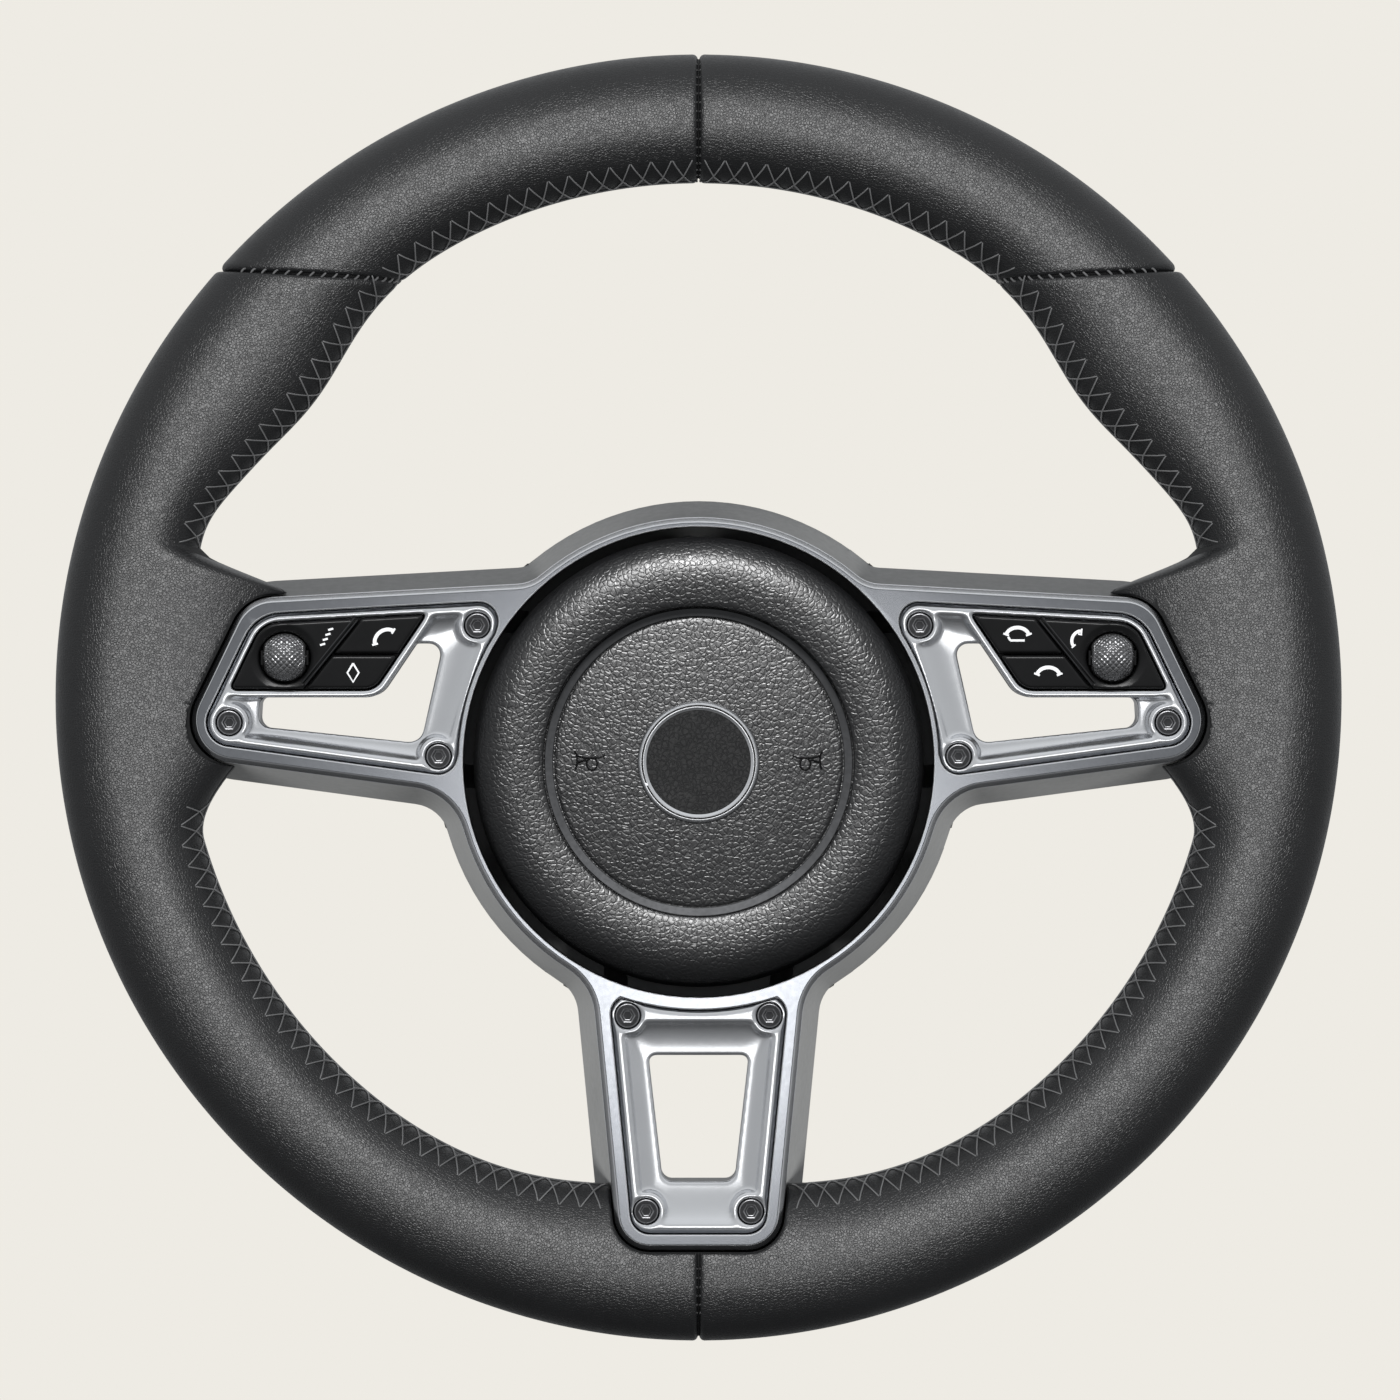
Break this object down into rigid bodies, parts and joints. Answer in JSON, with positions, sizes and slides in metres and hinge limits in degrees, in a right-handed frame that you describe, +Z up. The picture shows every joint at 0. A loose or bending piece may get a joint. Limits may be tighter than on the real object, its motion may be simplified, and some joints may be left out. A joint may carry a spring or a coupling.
{
  "type": "steering wheel",
  "caption": "Round leather car steering wheel with three metal spokes, windowed inserts, a pressing horn pad and thumb switches with rollers.",
  "frame": {"origin": "centre of the column bore's mouth, on the rim's axis", "axes": "+X right and +Z up as the driver sees the wheel straight ahead, +Y along the column away from the driver"},
  "size_m": [0.36, 0.0696, 0.36],
  "materials": {
    "leather": "grained, satin",
    "satin_metal": "satin chrome on a casting",
    "cast_metal": "bare casting",
    "steel": "plated",
    "dark_screw": "black oxide",
    "foam": "moulded foam",
    "cover_plastic": "fine grain",
    "pad_plastic": "leather grain",
    "switch_plastic": "satin black",
    "board": "circuit board",
    "mat_rubber": "silicone",
    "fabric": "folded nylon"
  },
  "bodies": {
    "wheel": {"armature": "cast_metal", "hub_bush": "steel", "rim_padding": "foam", "leather_upper_left": "leather", "leather_upper_right": "leather", "leather_left": "leather", "leather_right": "leather", "spoke_frame": "satin_metal", "rear_cover": "cover_plastic", "rear_cover_screws": "dark_screw", "left_insert": "satin_metal", "right_insert": "satin_metal", "lower_insert": "satin_metal", "insert_screws": "dark_screw", "horn_contact_pads": "steel", "left_switch_housing": "switch_plastic", "left_circuit_board": "board", "left_switch_mat": "mat_rubber", "left_roller_bezel": "switch_plastic", "right_switch_housing": "switch_plastic", "right_circuit_board": "board", "right_switch_mat": "mat_rubber", "right_roller_bezel": "switch_plastic"},
    "horn_pad": {"pad_cover": "pad_plastic", "pad_band": "satin_metal", "emblem_disc": "satin_metal", "module_plate": "steel", "inflator": "steel", "inflator_screws": "dark_screw", "airbag_cushion": "fabric", "guide_pins": "steel", "horn_springs": "steel", "horn_contact_studs": "steel"},
    "left_upper_button": {"left_upper_button": "switch_plastic"},
    "left_lower_button": {"left_lower_button": "switch_plastic"},
    "left_roller_fork": {"left_roller_carrier": "switch_plastic", "left_roller_axle": "steel"},
    "left_roller": {"left_roller": "switch_plastic"},
    "right_upper_button": {"right_upper_button": "switch_plastic"},
    "right_lower_button": {"right_lower_button": "switch_plastic"},
    "right_roller_fork": {"right_roller_carrier": "switch_plastic", "right_roller_axle": "steel"},
    "right_roller": {"right_roller": "switch_plastic"}
  },
  "joints": [
    {"name": "horn_press", "type": "slide", "parent": "wheel", "child": "horn_pad", "axis": [0, 1, 0], "range_m": [0, 0.003], "stiffness_N_per_m": 9000, "deforming": ["horn_springs"]},
    {"name": "left_upper_button_press", "type": "slide", "parent": "wheel", "child": "left_upper_button", "axis": [0, 1, 0], "range_m": [0, 0.0008], "stiffness_N_per_m": 300},
    {"name": "left_lower_button_press", "type": "slide", "parent": "wheel", "child": "left_lower_button", "axis": [0, 1, 0], "range_m": [0, 0.0008], "stiffness_N_per_m": 300},
    {"name": "left_roller_press", "type": "slide", "parent": "wheel", "child": "left_roller_fork", "axis": [0, 1, 0], "range_m": [0, 0.0008], "stiffness_N_per_m": 400},
    {"name": "left_roller_spin", "type": "hinge", "parent": "left_roller_fork", "child": "left_roller", "pos_m": [-0.1154, -0.0612, 0.0111], "axis": [1, 0, 0], "continuous": true},
    {"name": "right_upper_button_press", "type": "slide", "parent": "wheel", "child": "right_upper_button", "axis": [0, 1, 0], "range_m": [0, 0.0008], "stiffness_N_per_m": 300},
    {"name": "right_lower_button_press", "type": "slide", "parent": "wheel", "child": "right_lower_button", "axis": [0, 1, 0], "range_m": [0, 0.0008], "stiffness_N_per_m": 300},
    {"name": "right_roller_press", "type": "slide", "parent": "wheel", "child": "right_roller_fork", "axis": [0, 1, 0], "range_m": [0, 0.0008], "stiffness_N_per_m": 400},
    {"name": "right_roller_spin", "type": "hinge", "parent": "right_roller_fork", "child": "right_roller", "pos_m": [0.1154, -0.0612, 0.0111], "axis": [1, 0, 0], "continuous": true}
  ]
}
